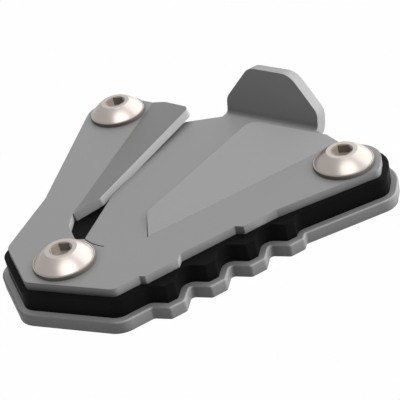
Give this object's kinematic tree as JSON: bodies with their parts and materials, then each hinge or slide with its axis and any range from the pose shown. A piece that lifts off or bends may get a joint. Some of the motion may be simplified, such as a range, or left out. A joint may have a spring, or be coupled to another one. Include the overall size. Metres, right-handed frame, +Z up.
{
  "type": "kickstand foot enlarger",
  "caption": "Flat layered foot that clamps under the end of a side stand, with grip teeth, bent clamping flaps, an upright kick tongue and flanged screws.",
  "frame": {"origin": "bottom centre of the bounding box, on the ground under the base plate", "axes": "+X to the right, where the grip teeth run towards; +Y to the back, where the foot of the stand goes in; +Z up from the ground"},
  "size_m": [0.0846, 0.085, 0.0211],
  "materials": {
    "base_plate": "fine blasted and clear anodised",
    "spacer_plate": "fine matte moulded",
    "clamp_plate": "fine blasted",
    "screws": "smooth polished stainless"
  },
  "bodies": {
    "root": {"base_plate": "base_plate", "spacer_plate": "spacer_plate", "clamp_plate": "clamp_plate", "screw_front": "screws", "screw_left": "screws", "screw_right": "screws"}
  },
  "joints": []
}
